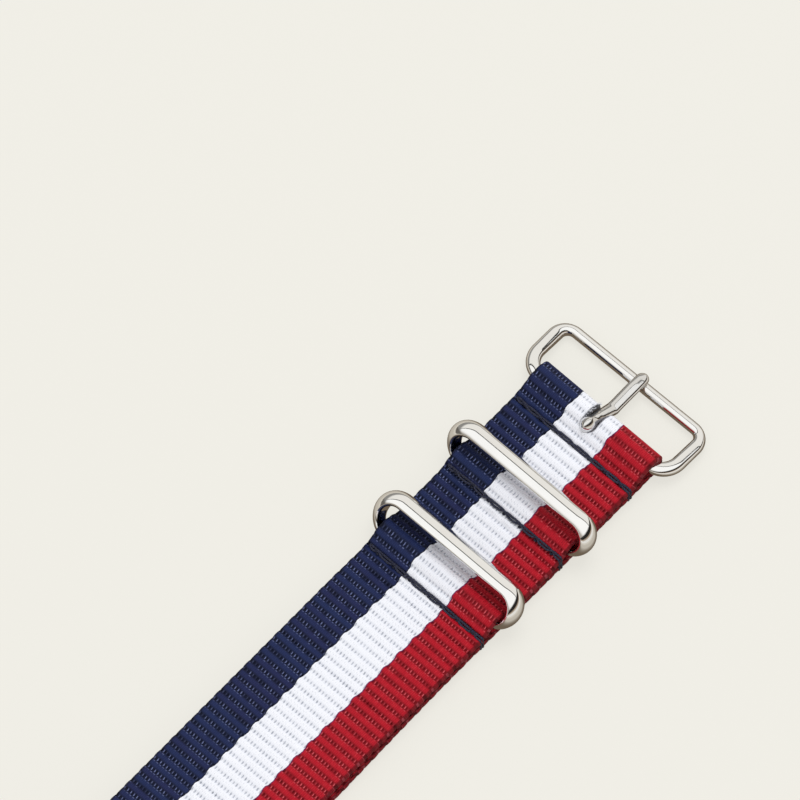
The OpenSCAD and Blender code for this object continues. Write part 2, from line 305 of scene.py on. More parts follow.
def longTop(s):  # height of the long strap's upper side
    fold, loop = course["foldRise"], course["keeperRise"]
    flat = pair + rise(s, 0, fold) + rise(s, keeperAt[0], loop) + rise(s, keeperAt[1], loop)
    (up, upAt, upLong), (over, before, overLong), (down, after, downLong) = course["steps"]
    run = (pair + up * ease((s - upAt) / upLong) + over * ease((s - keeperAt[2] + before) / overLong)
           - down * ease((s - keeperAt[2] - after) / downLong))
    (opensAt, opensLong), (closesAt, closesLong) = course["opens"], course["closes"]
    loose = course["loose"] * ease((s - opensAt) / opensLong) * (1 - ease((s - closesAt) / closesLong))
    return np.where(s < course["sewn"], flat, run) + loose


def unit(vectors):
    return vectors / np.linalg.norm(vectors, axis=1)[:, None]


def followed(line):  # the way a line takes at each point, and how far it has gone
    gone = np.concatenate([[0], np.cumsum(np.linalg.norm(np.diff(line, axis=0), axis=1))])
    return unit(np.gradient(line, axis=0)), gone


def roundAbout(count):
    return np.linspace(0, 2 * np.pi, count, endpoint=False)


def foldArc(middle, reach, start, stop, step):
    a = np.radians(np.arange(start, stop, step))
    return np.stack([middle + reach * np.cos(a), foldR + foldR * np.sin(a)], 1)


def sidePath():  # side view of the whole band, from the tip round both folds to the turned back end
    s = np.arange(tailEnd, 0, -0.05)
    points = [np.stack([-s, longTop(s)], 1), foldArc(0, foldR, 90, -90, -1.5)]
    s = np.arange(0, keeperAt[2], 0.05)
    points.append(np.stack([-s, 0 * s], 1))
    endLoop = course["endLoop"]
    points.append(foldArc(-keeperAt[2], -foldR, -90, math.degrees(math.asin((endLoop - foldR) / foldR)), 1.5))
    s = np.arange(1.6, -10.0, -0.05)
    points.append(np.stack([-keeperAt[2] - s, np.minimum(pair + rise(s, 0, course["foldRise"]), endLoop)], 1))
    outer = np.concatenate(points)
    kernel = np.exp(-np.linspace(-2.2, 2.2, 15) ** 2)
    kernel /= kernel.sum()
    padded = np.concatenate([outer[:1].repeat(7, 0), outer, outer[-1:].repeat(7, 0)])
    smooth = np.stack([np.convolve(padded[:, i], kernel, "valid") for i in (0, 1)], 1)
    outer[8:-8] = smooth[8:-8]
    along = followed(outer)[0]
    normal = np.stack([-along[:, 1], along[:, 0]], 1)
    gone = followed(outer + normal * (-webbing["thick"] / 2))[1]
    level = np.argmin(np.abs(outer[:, 0] + bandAt) + 10 * (outer[:, 1] < 1))
    t = bandAt + gone[level] - gone
    thick = np.full(len(t), webbing["thick"] - webbing["slack"])
    a, room = np.radians(np.arange(0, 360, 3)), course["barRoom"]
    for place, top in zip(keeperAt, course["barTop"]):
        ring = np.stack([-place + room * np.cos(a), np.minimum(foldR + room * np.sin(a), top)], 1)
        near = np.abs(outer[:, 0] + place) < 5
        away = np.linalg.norm(outer[near][:, None] - ring, axis=2).min(1)
        thick[near] = np.minimum(thick[near], away)
    order = np.argsort(t)
    return {"t": t[order], "outer": outer[order], "normal": normal[order], "thick": thick[order],
            "s": -outer[order, 0]}


path = sidePath()
tLow, tHigh = path["t"][0], path["t"][-1]


def onPath(t, key):
    value = path[key]
    if value.ndim == 1:
        return np.interp(t, path["t"], value)
    return np.stack([np.interp(t, path["t"], value[:, i]) for i in (0, 1)], -1)


def layerAt(s, layer):  # how far along the band a place of one of its layers is
    t, high = path["t"], path["outer"][:, 1]
    spans = {"upper": (t > 1) | ((t > -6) & (high > foldR)), "lower": (t < -3) & (high < 0.5),
             "back": t < tLow + 10.5}
    chosen = np.where(spans[layer])[0]
    return t[chosen[np.argmin(np.abs(path["s"][chosen] - s))]]


def bandNear(t):
    return bandAt + round((t - bandAt) / rib) * rib


upperRows = [layerAt(s, "upper") for s in stitching["rows"]]
lowerRows = [layerAt(s, "lower") for s in stitching["rows"]]
endRows = [layerAt(stitching["endRow"], "back"), layerAt(stitching["endRow"], "lower")]
underT = path["t"][np.argmin(np.abs(path["outer"][:, 0] + webbing["slotUnder"]) + 10 * (path["outer"][:, 1] > 1))]
slotEnds = (underT, layerAt(webbing["slotTop"], "upper"))
holeAt = [layerAt(webbing["holeMiddle"] + (n - 4) * webbing["holePitch"], "upper") for n in range(webbing["holes"])]


def cutDistance(t, y):  # distance to the nearest cut edge of the band, negative where it is cut away
    away = np.full(np.shape(t), 99.0)
    for place in holeAt:
        away = np.minimum(away, np.hypot(t - place, y) - webbing["hole"])
    radius = webbing["slotHalf"]
    middle = np.clip(t, slotEnds[0] + radius * 0.5, slotEnds[1] - radius * 0.7)
    away = np.minimum(away, np.hypot(t - middle, y - webbing["slotY"]) - radius)
    tipStart = tHigh - webbing["tip"]
    outline = np.hypot(np.clip((t - tipStart) / webbing["tip"], 0, 1.5), y / sideY)
    return np.minimum(away, np.where(t > tipStart, (1 - outline) * 10.0, 99.0))


def cutSlope(t, y, step):
    return (cutDistance(t + step, y) - cutDistance(t - step, y),
            cutDistance(t, y + step) - cutDistance(t, y - step))


def relief(t, y, inner):  # how far the weave lies below the crowns of the ribs
    phase = (t - bandAt) / rib + 0.5 * inner
    band = np.round(phase).astype(int)
    du = (phase - band) * rib
    crown = np.sin(np.pi / 2 * np.clip(np.abs(du) / webbing["crown"], 0, 1))
    across = y / warp + 0.5 * (band % 2) + du * webbing["slant"]
    cell = np.floor(across).astype(int)
    dv = (across - cell - 0.5) * warp
    luck = pitLuck[band % 1024, cell % 64]
    (pitLong, pitWide), (creaseLong, creaseWide) = webbing["pit"], webbing["crease"]
    pit = bell(du, pitLong) * bell(dv, pitWide) * (0.55 + 0.6 * luck)
    lift = webbing["uneven"] * (ribLuck[np.floor(phase).astype(int) % 1024] - 0.5)
    dv = (across + 0.5 - np.floor(across + 0.5) - 0.5) * warp
    crease = bell(np.abs(du) - rib / 2, creaseLong) * bell(dv, creaseWide)
    return (webbing["ribDeep"] * (1 - crown) + webbing["pitDeep"] * pit + webbing["creaseDeep"] * crease
            + lift + webbing["lowest"])


def nearNeedle(y):
    gap = np.min(np.abs(np.asarray(y)[..., None] - np.array(stitching["needles"])), -1)
    return bell(gap, 0.55)


def stitchGroove(t, y):  # the rows draw the webbing in, and it swells beside them on top
    deep = np.zeros(np.shape(t))
    drawn = nearNeedle(y)
    for row in upperRows + lowerRows + endRows:
        away = t - row - stitching["dodge"] * drawn
        deep += stitching["deep"] * (0.75 + 0.5 * drawn) * bell(away, stitching["wide"])
        if row in upperRows:
            deep -= stitching["swell"] * (1 - drawn) * bell(np.abs(away) - 0.8, 0.36)
    return deep * np.clip((sideY - 0.2 - np.abs(y)) / 0.3, 0.35, 1)


def inPart(place, y):  # from the band's side view into the part
    return np.stack([barX + place[..., 0], y, place[..., 1]], -1)


def sunkBy(t, depth):
    return onPath(t, "outer") - onPath(t, "normal") * depth[..., None]


def bandPoint(t, y, inner, away):  # place of a point of the band's outer or inner side
    lip = np.exp(-np.maximum(away, 0) / 0.28)
    sunk = relief(t, y, inner) * (1 - lip) + stitchGroove(t, y) * (1 - inner) + 0.02 * lip
    sunk = sunk + 0.14 * np.exp(-np.maximum(away, 0) / 0.07)
    ending = np.clip((t - tLow) / 0.35, 0, 1)
    thick = onPath(t, "thick")
    sunk = sunk + (1 - np.sqrt(1 - (1 - ending) ** 2)) * thick * 0.3
    return inPart(sunkBy(t, np.where(inner > 0.5, thick - sunk, sunk)), y + lowerShift(t)), lip


def lowerShift(t):
    amount, start, length = course["aside"]
    return np.where(t < 0, amount * ease((onPath(t, "s") - start) / length), 0.0)


def makeWebbing(name, start, end, fine, cut):
    count = int(round((end - start) / rib))
    rows = [start + k * rib + r for k in range(count) for r in webbing["rows"]] + [end]
    if start < tLow + 1:
        rows = [tLow, tLow + 0.06, tLow + 0.16, tLow + 0.3] + [r for r in rows if r > tLow + 0.4]
    rows = np.array([r for r in rows if r <= tHigh + 0.5])
    reach = sideY - webbing["rimRound"]
    columns = np.linspace(-reach, reach, int(round(2 * reach / webbing["column"])) + 1)
    under = columns if fine else np.linspace(-reach, reach, 13)
    rim = np.radians(webbing["rimTurns"])
    n, k, m = len(columns), len(rim), len(under)
    ring = n + k + m + k
    top, side, below, farSide = slice(0, n), slice(n, n + k), slice(n + k, n + k + m), slice(n + k + m, ring)
    gridT = np.repeat(rows[:, None], ring, 1)
    gridY = np.empty((len(rows), ring))
    for part, y in ((top, columns), (side, reach + 0.01), (below, under[::-1]), (farSide, -reach - 0.01)):
        gridY[:, part] = y
    inner = np.zeros((len(rows), ring))
    inner[:, below] = 1
    keep = np.ones((len(rows) - 1, ring), bool)
    if cut:
        centreT = (gridT[:-1] + gridT[1:]) / 2
        nextY = np.roll(gridY, -1, 1)
        keep = cutDistance(centreT, ((gridY + nextY) / 2)[:-1]) > 0
        keep[:, n - 1:n + k] = (cutDistance(centreT[:, :1], reach + 0 * centreT[:, :1]) > 0)
        keep[:, n + k + m - 1:] = keep[:, n - 1:n]
        for first, size in ((0, n), (n + k, m)):  # corners on the edge of a cut move onto its outline
            cells = keep[:, first:first + size - 1]
            whole, gone = (c[1:, 1:] | c[1:, :-1] | c[:-1, 1:] | c[:-1, :-1]
                           for c in (np.pad(cells, 1), np.pad(~cells, 1)))
            edge = whole & gone
            gridOfT, gridOfY = gridT[:, first:first + size], gridY[:, first:first + size]
            for turn in range(3):
                t, y = gridOfT[edge], gridOfY[edge]
                away = cutDistance(t, y)
                gt, gy = (change / 0.02 for change in cutSlope(t, y, 0.01))
                steep = np.maximum(gt ** 2 + gy ** 2, 0.04)
                gridOfT[edge] = t - away * gt / steep
                gridOfY[edge] = np.clip(y - away * gy / steep, -reach, reach)
    away = cutDistance(gridT, gridY) if cut else np.full(gridT.shape, 9.0)
    points, lip = bandPoint(gridT, gridY, inner, away)
    thick, normal = onPath(gridT, "thick"), onPath(gridT, "normal")
    phase = (gridT - bandAt) / rib
    swell = np.abs(np.sin(np.pi * phase)) ** 0.6
    pairUp = 0.5 + 0.5 * np.cos(np.pi * (phase - 0.5))
    towardTip = np.clip((gridT - tHigh + webbing["tip"]) / webbing["tip"], 0, 1)
    tipHalf = sideY * np.sqrt(np.clip(1 - towardTip ** 2, 0, 1))
    for band, sign, turned in ((side, 1, rim), (farSide, -1, rim[::-1])):
        reachOut = (webbing["rimRound"] - webbing["rimScallop"] * (1 - swell[:, band])
                    - webbing["rimPairs"] * pairUp[:, band])
        reachOut = np.minimum(reachOut, np.maximum(tipHalf[:, band] - reach, 0.01))
        shrink = webbing["ribDeep"] * (1 - swell[:, band]) + 0.04
        middle = sunkBy(gridT[:, band], thick[:, band] / 2)
        spread = np.sin(turned) * (thick[:, band] / 2 - shrink)
        y = sign * (reach + reachOut * np.cos(turned)) + lowerShift(gridT[:, band])
        points[:, band] = inPart(middle + normal[:, band] * spread[..., None], y)
        lip[:, band] = 0
    index = np.arange(len(rows) * ring).reshape(len(rows), ring)

    def corners(here, following):
        return np.stack([here[:-1], following[:-1], following[1:], here[1:]], -1)[keep]

    rimV, turnV = 0.25 * np.arange(1, k + 1), 1.5  # the flat map runs round the band: top, rim, underside, rim
    total = 4 * reach + 2 * turnV
    mapV = gridY + reach
    mapV[:, side], mapV[:, farSide] = 2 * reach + rimV, 4 * reach + turnV + rimV
    mapV[:, below] = 3 * reach + turnV - gridY[:, below]
    mapU = gridT - rows[0]
    nextV = np.roll(mapV, -1, 1)
    nextV[:, -1] = total
    allPoints = [points.reshape(-1, 3)]
    weave = [np.stack([gridT, np.clip(gridY, -10, 10), inner], -1).reshape(-1, 3)]
    for row in upperRows:  # painted shade: dark needle holes on the navy, carried with the melted edges
        holes = nearNeedle(gridY) ** 1.5 * bell(gridT - row - 0.35, 0.42) * (gridY > 3.7) * (gridY < 9)
        lip = np.maximum(lip, holes * (inner < 0.5))
    meltAndHoleShade = [lip.reshape(-1)]
    faces = [corners(index, np.roll(index, -1, 1))]
    faceU, faceV = [corners(mapU, np.roll(mapU, -1, 1))], [corners(mapV, nextV)]
    if cut:  # walls of the holes, rounded by the heat that sealed them
        edges = []
        cells = np.pad(keep[:, :n - 1], 1, constant_values=True)
        here = cells[1:-1, 1:-1]
        for (di, dj), (a, b) in {(-1, 0): ((0, 0), (0, 1)), (0, 1): ((0, 1), (1, 1)),
                                 (1, 0): ((1, 1), (1, 0)), (0, -1): ((1, 0), (0, 0))}.items():
            other = cells[1 + di:len(rows) + di, 1 + dj:n + dj]
            for i, j in np.argwhere(here & ~other):
                edges.append(((i + a[0], j + a[1]), (i + b[0], j + b[1])))
        used = sorted({p for pairOf in edges for p in pairOf})
        spot = {p: q for q, p in enumerate(used)}
        i, j = np.array(used).T
        t, y = gridT[i, j], gridY[i, j]
        gt, gy = cutSlope(t, y, 0.02)
        long = np.maximum(np.hypot(gt, gy), 1e-6)
        gt, gy = gt / long, gy / long
        levels = [index[i, j]]
        base = len(rows) * ring
        for depth, bulge in webbing["wall"]:
            tt, yy = t - gt * bulge, y - gy * bulge
            allPoints.append(inPart(sunkBy(tt, onPath(tt, "thick") * depth), yy + lowerShift(tt)))
            weave.append(np.stack([tt, yy, 0 * tt + 0.5], -1))
            meltAndHoleShade.append(np.ones(len(tt)))
            levels.append(base + np.arange(len(tt)))
            base += len(tt)
        levels.append(index[i, n + k + (n - 1 - j)])
        pairs = np.array([(spot[p], spot[q]) for p, q in edges])
        for step, (u, v) in enumerate(zip(levels, levels[1:])):
            faces.append(np.stack([u[pairs[:, 1]], u[pairs[:, 0]], v[pairs[:, 0]], v[pairs[:, 1]]], -1))
            place = [(t - gt * d - rows[0], y - gy * d + reach) for d in (0.12 * step, 0.12 * (step + 1))]
            for axis, flat in enumerate((faceU, faceV)):
                flat.append(np.stack([place[l][axis][pairs[:, e]] for l, e in ((0, 1), (0, 0), (1, 0), (1, 1))], -1))
    caps = [end for end, whole in ((index[0, ::-1], keep[0].all()), (index[-1], keep[-1].all())) if whole]
    quads = np.concatenate(faces)
    length = rows[-1] - rows[0]
    uv = np.stack([np.concatenate(faceU) / length, np.concatenate(faceV) / total], -1).reshape(-1, 2) * 0.94 + 0.03
    capUv = [np.stack([0.005 + 0.98 * q + 0.008 * (np.arange(len(c)) % 2), np.linspace(0.03, 0.97, len(c))], -1)
             for q, c in enumerate(caps)]
    made = addMesh(name, np.concatenate(allPoints), quads, caps, webbingFinish, np.concatenate([uv] + capUv))
    addValues(made, "weave", np.concatenate(weave))
    addValues(made, "meltAndHoleShade", np.concatenate(meltAndHoleShade))
    return made


def addMesh(name, points, quads, others, finish, uv=None):
    mesh = bpy.data.meshes.new(name)
    mesh.vertices.add(len(points))
    mesh.vertices.foreach_set("co", (np.asarray(points) * mm).astype(np.float32).ravel())
    sizes = np.array([quads.shape[1]] * len(quads) + [len(o) for o in others])
    corners = np.concatenate([quads.ravel()] + [np.asarray(o).ravel() for o in others])
    mesh.loops.add(len(corners))
    mesh.polygons.add(len(sizes))
    mesh.polygons.foreach_set("loop_start", np.concatenate([[0], np.cumsum(sizes)[:-1]]).astype(np.int32))
    mesh.loops.foreach_set("vertex_index", corners.astype(np.int32))
    mesh.update(calc_edges=True)
    if uv is not None:
        mesh.uv_layers.new(name="OFBake").data.foreach_set("uv", uv.astype(np.float32).ravel())
    mesh.validate()
    mesh.materials.append(finish)
    return addObject(name, mesh)


def addValues(made, name, values):
    kind, key = ("FLOAT_VECTOR", "vector") if values.ndim == 2 else ("FLOAT", "value")
    made.data.attributes.new(name, kind, "POINT").data.foreach_set(key, values.astype(np.float32).ravel())


def attach(made, bodies, nodes, material, bend=None, reach=0):  # a piece across a hinge is baked where it lies; any other follows its body
    if bend:
        at, z = placeOf(bend), joints[bend]["pos_m"][2]
        (barX - at + reach) * mm
        (barX - at - reach) * mm
        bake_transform(made)
    else:
        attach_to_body(made, *bodies)
    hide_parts(*nodes)


def makeWebbingFinish():
    finish, shade = newFinish("stripedWebbing")
    look = {
        # Among the stripes' own colours: the pit and band colours are painted shade in the weave's hollows, the dark
        # line is painted shadow at the navy edge, and the speck colours are painted highlights
        "navy": "#1f2a55", "navyBlue": "#1f305c", "navyPurple": "#252550", "navyPitShade": "#060919", "navyGlint": "#7f8aba",
        "white": "#f7f8fe", "whitePitShade": "#a9aebb", "whiteBandShade": "#eff1f8", "whiteGlint": (0.97, 0.97, 1.0, 1),
        "red": "#bb1226", "redLight": "#d32b38", "redPitShade": "#5c010a", "redGlint": "#ee6a72",
        "navyShares": (0.7, 0.45, 0.62, 0.42), "redShares": (0.6, 0.52, 0.6, 0.34),  # of the painted shade in band and pit, and of the painted highlights beside pits and on crests
        "line": "#090b1c", "purple": "#641553", "melted": "#0c0d18", "grey": (0.5, 0.5, 0.5, 1),
        "selvedge": (0.3, 0.27, 0.36, 1), "selvedgeAt": (9.45, 9.72), "sealedAndHoleShade": (0.24, 0.23, 0.26, 1),
        "edgeAt": 3.4, "bulge": 0.125, "jitter": 0.14,  # where navy and red end, and how far the ribs swing it
        "yarn": 0.255, "pit": (0.09, 0.25, 1.6),  # half sizes of the ovals, and where they begin and end to fade
        "crestHighlight": (0.07, 0.16, 0.2, 1.5), "crease": (0.15, 0.075, 0.2, 1.6), "speck": (0.22, 0.08, 0.2, 1.5),
    }
    t, y, inner = shade.value("weave").parts()
    meltAndHoleShade = shade.value("meltAndHoleShade", "Fac")
    phase = (t - bandAt) / rib + inner * 0.5
    band = shade.maths("ROUND", phase)
    ribNumber = shade.maths("FLOOR", phase)
    du = (phase - band) * rib
    across = y / warp + (band % 2.0) * 0.5 + du * webbing["slant"]
    cell = shade.maths("FLOOR", across)
    dv = (across - cell - 0.5) * warp
    luck, luck2 = shade.chance(band, cell, inner), shade.chance(cell, band, inner + 7)
    ribLook = shade.chance(ribNumber, inner)

    def oval(along, across, long, wide, inside, outside):  # 1 within an oval, and fading to 0 round it
        return 1 - ((along / long) ** 2 + (across / wide) ** 2).soft(inside, outside)

    # painted shade in the pits, which the bump also sinks
    pit = oval(du, dv, 0.2 + 0.08 * luck, *look["pit"]) * (0.55 + 0.45 * luck2)
    # lines between the warp yarns: bump, and painted shade in their grooves
    warpLines = shade.maths("COSINE", y * (2 * math.pi / look["yarn"])) * 0.5 + 0.5
    # painted highlight: a light dash along the crest of each rib
    crestHighlight = oval(abs(du) - 0.37, dv, *look["crestHighlight"]) * luck.soft(0.1, 0.9) * (du > 0.0)
    # painted shade in the groove between ribs
    bandShade = 1 - abs(du).soft(0.14, 0.6)
    dv2 = (across + 0.5 - shade.maths("FLOOR", across + 0.5) - 0.5) * warp
    # painted shade in the creases at the ribs' edges
    crease = oval(abs(du) - rib / 2, dv2, *look["crease"]) * luck2.soft(0.1, 0.9)
    caught = oval(du + 0.02, dv - 0.21, *look["speck"]) + oval(du + 0.02, dv + 0.3, *look["speck"])
    speck = caught * luck.soft(-0.15, 0.85)  # painted highlight: light caught beside a pit
    fibres = shade.noise(shade.vector(t * 1.2, y * 14.0, ribNumber * 3.1), 1.0, 3.0)
    floatShade = shade.noise(shade.vector(t * 0.9, y * 3.9, ribNumber * 7.7), 1.0, 1.0)
    patch = shade.noise(shade.vector(t * 0.13, y * 0.16, inner))
    wave = shade.maths("COSINE", (phase - 1.5) * math.pi) * 0.5 + 0.5
    jitter = shade.noise(shade.vector(t * 2.4, y * 0.1)) - 0.5
    shift = ((wave ** 0.8) * 2 - 1) * look["bulge"] + jitter * look["jitter"]
    edgeAt = look["edgeAt"]
    white = (y - shift).soft(edgeAt + 0.03, edgeAt - 0.03)
    red = (y - shift).soft(0.03 - edgeAt, -0.03 - edgeAt)
    pastNavy = y - shift - edgeAt
    # painted shadow: a dark line on the navy side where it meets the white
    navyEdgeShadow = pastNavy.soft(-0.01, 0.02) * (1 - pastNavy.soft(0.08, 0.2))
    nearRed = 1 - abs(y - shift + edgeAt + 0.04).soft(0.04, 0.11)

    def woven(name):  # the painted shade in a stripe's hollows and its painted highlights
        bandShare, pitShare, speckShare, crestShare = look[name + "Shares"]
        shares = bandShade * bandShare, pit * pitShare, crease * 0.3 + warpLines * 0.3
        return [(look[name + "PitShade"], share) for share in shares] + [
            (look[name + "Glint"], speck * speckShare + crestHighlight * crestShare)]

    purplish = ribLook.soft(0.1, 0.9) * 0.7 + patch * 0.3
    navyColour = shade.layered(look["navyBlue"], (look["navyPurple"], purplish), (look["navy"], floatShade),
                               *woven("navy"))
    whiteColour = shade.layered(look["white"], (look["whiteBandShade"], bandShade),
                                (look["whitePitShade"], pit * 0.72 + crease * 0.4 + warpLines * 0.1),
                                (look["whiteGlint"], speck * 0.4))
    redColour = shade.layered(look["red"], (look["redLight"], floatShade.soft(0.45, 0.8) * 0.55), *woven("red"))
    colour = shade.layered(navyColour, (whiteColour, white), (look["line"], navyEdgeShadow * 0.9), (redColour, red),
                           (look["purple"], nearRed * 0.85))
    colour = shade.mix(colour, look["grey"], fibres.soft(0.3, 0.8) * 0.12, "SOFT_LIGHT")
    selvedge = abs(y).soft(*look["selvedgeAt"]) * 0.7  # the edge threads lie in their own shade
    colour = shade.mix(colour, shade.mix(colour, look["selvedge"], 1.0, "MULTIPLY"), selvedge)
    slotSide = y.soft(0.1, 0.5) * (1 - y.soft(3.0, 3.3)) * (1 - t.soft(3.0, 3.6))  # burnt darkest on this side
    # the sealed cut edges are the webbing's own burnt colour; the needle holes in this mask are painted shade
    sealedAndHoleShade = shade.maths("MAXIMUM", meltAndHoleShade.soft(0.5, 1.0), slotSide * meltAndHoleShade.soft(0.22, 0.6))
    burnt = shade.mix(shade.mix(colour, look["sealedAndHoleShade"], 1.0, "MULTIPLY"), look["melted"], slotSide)
    colour = shade.mix(colour, burnt, sealedAndHoleShade * 0.85)
    height = fibres * 0.5 - warpLines * 0.6 * (1 - bandShade) - pit * 1.6 + caught * 0.5
    bump = shade.bump(height * (1 - sealedAndHoleShade), 0.00006)
    surface(shade, {"Base Color": colour, "Roughness": 0.6 - 0.3 * sealedAndHoleShade - 0.2 * speck, "Normal": bump,
                    "Specular IOR Level": 0.2, "Sheen Weight": 0.03, "Sheen Roughness": 0.4})
    return finish


webbingFinish = makeWebbingFinish()
upperCuts = [bandNear(layerAt(s, "upper")) for s in webbing["cutsAt"]] + [tHigh + 0.5]
lowerCuts = [bandNear(layerAt(s, "lower")) for s in webbing["cutsAt"][:4]]
foldUp, foldDown = bandNear(webbing["foldEnd"]), bandNear(layerAt(webbing["foldEnd"], "lower"))
reaches = (2.6, 5.5, 5.0, 5.5, 5.5, 5.0, 5.0, 5.0, 5.0, 5.5)
tails = ["tail_%d" % n for n in range(1, 7)] + ["tail_tip"]
chain = ["head", "pair_1", "pair_2", "pair_3"] + tails
longNodes = ["sewn_head", "long_strap_1", "long_strap_2", "long_strap_crossing"] + tails
shortNodes = ["sewn_head", "short_strap_1", "short_strap_2", "short_strap_end"]
longNames = ["long_1", "long_2", "long_3", "crossing", *tails[:5], "tip"]


def acrossHinge(n, name, start, end, fine, cut, nodes):
    nodes = nodes[max(n - 1, 1):n + 1]
    return name, start, end, fine, cut, chain[n - 1:n + 1], nodes, "bend_%02d" % n, reaches[n - 1]


upper = [acrossHinge(n, longNames[n - 1], upperCuts[n - 1], upperCuts[n], n > 3, n > 5, longNodes)
         for n in range(1, 11)]
lower = [acrossHinge(n, "short_%d" % n, lowerCuts[n], lowerCuts[n - 1], False, False, shortNodes) for n in (1, 2, 3)]
band = [  # name, start, end, fine below, cut, bodies, nodes, hinge, reach
    ("fold", foldDown, foldUp, True, True, ["head"], ["sewn_head"]),
    ("head_upper", foldUp, upperCuts[0], False, False, ["head"], ["sewn_head"]),
    ("head_lower", lowerCuts[0], foldDown, False, False, ["head"], ["sewn_head"]),
    *upper[:4], *lower,
    ("short_end", tLow, lowerCuts[3], False, False, ["pair_3"], ["short_strap_end"]),
    *upper[4:],
]
faceCount = 0
for name, start, end, fine, cut, bodies, nodes, *hinge in band:
    made = makeWebbing("webbing_" + name, start, end, fine, cut)
    faceCount += len(made.data.polygons)
    attach(made, bodies, nodes, "nylon_webbing", *hinge)
    (min(end, tHigh) - start) * mm
    "folded" if name in ("fold", "short_end") else "laid"
    (webbing["width"] * (tHigh - start) - 56) * mm * mm if name == "tip" else None
print("webbing:", len(band), "lengths,", faceCount, "faces")


# Stitching

def threadFinish():
    finish, shade = newFinish("navyThread")
    along, turn = shade.value("twist").parts("XY")
    ply = shade.maths("SINE", along * (2 * math.pi / stitching["twist"]) + turn * 2) * 0.5 + 0.5
    hair = shade.noise(shade.vector(along * 9, turn * 6))
    # the thread's navy, with painted shade between the plies and painted highlights on them
    colour = shade.layered("#05060f", ("#1e2345", ply * 0.7 + hair * 0.3),
                           ("#5f6692", (hair - 0.5).soft(0.08, 0.25) * 0.3))
    surface(shade, {"Base Color": colour, "Roughness": 0.5 - 0.1 * ply, "Sheen Weight": 0.1,
                    "Normal": shade.bump(ply + hair * 0.5, 0.00004)})
    return finish


navyThread = threadFinish()


def tubeMesh(line, radius, sides=9):  # points of a twisted tube, and how far along and round it they are
    line = np.asarray(line, float)
    along, gone = followed(line)
    lead = unit(np.cross(along, (0.3, 0.1, 1.0)))
    other = np.cross(along, lead)
    a = roundAbout(sides)
    ply = 1 + 0.13 * np.cos(2 * a[None] + gone[:, None] * 2 * np.pi / stitching["twist"])
    size = np.broadcast_to(radius, len(line))[:, None] * ply
    points = (line[:, None] + lead[:, None] * (size * np.cos(a))[..., None]
              + other[:, None] * (size * np.sin(a))[..., None])
    twist = np.stack([gone[:, None] + 0 * a, a + 0 * gone[:, None], 0 * size], -1)
    return points, twist


def ringFaces(count, sides, closed=False):
    index = np.arange(count * sides).reshape(count, sides)
    nextOne = np.roll(index, -1, 1)
    quads = np.stack([index, np.roll(index, -1, 0), np.roll(nextOne, -1, 0), nextOne], -1)
    return quads[:count if closed else -1].reshape(-1, 4), [] if closed else [index[0], index[-1][::-1]]


def joinTubes(name, tubes, finish):
    quads, caps, base = [], [], 0
    for points, twist in tubes:
        faces, ends = ringFaces(*points.shape[:2])
        quads.append(faces + base)
        caps += [end + base for end in ends]
        base += points.shape[0] * points.shape[1]
    points, twists = (np.concatenate([tube[k].reshape(-1, 3) for tube in tubes]) for k in (0, 1))
    made = addMesh(name, points, np.concatenate(quads), caps, finish)
    addValues(made, "twist", twists)
    return made


def stitchRow(number, tUpper, tLower, body, seed):
    luck = np.random.default_rng(seed)
    needles = np.array(stitching["needles"])
    last = len(needles) - 1
    steps = np.arange(last + 2)
    edge = -sideY
    tubes = []
    ends = [onPath(t, "outer") for t in (tUpper, tLower)]
    middle = (ends[0] + ends[1]) / 2
    for t0, base, deeper in ((tUpper, ends[0], 0.0), (tLower, ends[1], 0.12)):
        normal = onPath(t0, "normal")
        along = np.array([-normal[1], normal[0]])
        wander = luck.normal(0, stitching["wander"], (2, last + 2))
        for strand in (-1, 1):
            u = np.linspace(0, last + 0.6, int((last + 0.6) * 26) + 1)
            y = np.interp(u, steps, np.append(needles, edge - 1.0))
            pulled = nearNeedle(y) ** 1.5 * (u < last + 0.5)
            apart = (strand * stitching["apart"] * (1 - 0.75 * pulled) - stitching["dodge"] * pulled
                     + np.interp(u, steps, wander[0]))
            high = (-0.1 - deeper - 0.26 * pulled + 0.05 * np.sin(u * 11 + 2 * strand)
                    + np.interp(u, steps, wander[1]) * 0.4)
            line = inPart(base + along * apart[:, None] + normal * high[:, None], y + 0.02 * np.sin(7 * u))
            shown = y > edge + 0.25
            wrap = []
            for way, inward in stitching["over"]:  # and over the edge, down between the layers
                x, z = base * (1 - way) + middle * way + along * (strand * stitching["apart"])
                wrap.append((barX + x, edge - inward, z))
            line = np.concatenate([line[shown], wrap])
            line[:, 1] += lowerShift(np.full(len(line), t0))
            thick = stitching["thread"] * (1 + 0.1 * np.concatenate([pulled[shown], np.zeros(len(wrap))]))
            tubes.append(tubeMesh(line, thick))
    for y in needles[1:]:  # the thread through the layers at each needle hole
        through = [(barX + x, y, z + past) for (x, z), past in zip((ends[0], middle, ends[1]), (-0.4, 0, 0.4))]
        tubes.append(tubeMesh(through, stitching["through"]))
    attach(joinTubes("stitches_%d" % number, tubes, navyThread), [body], ["stitch_row_%d" % number], "nylon_thread")


for n in range(3):
    stitchRow(n + 1, upperRows[n], lowerRows[n], "head", 20 + n)
stitchRow(4, endRows[0], endRows[1], "pair_3", 24)
print("stitching: 4 rows")


# Frayed ends along one side of the slot

fray = {"count": 22, "span": (3.6, 3.5), "long": (0.35, 0.9), "aside": (-0.5, 0.25), "up": (0.05, 0.3),
        "bend": (0.5, 0.9), "drift": 0.35, "thick": 0.04, "curl": 0.05, "seed": 41}


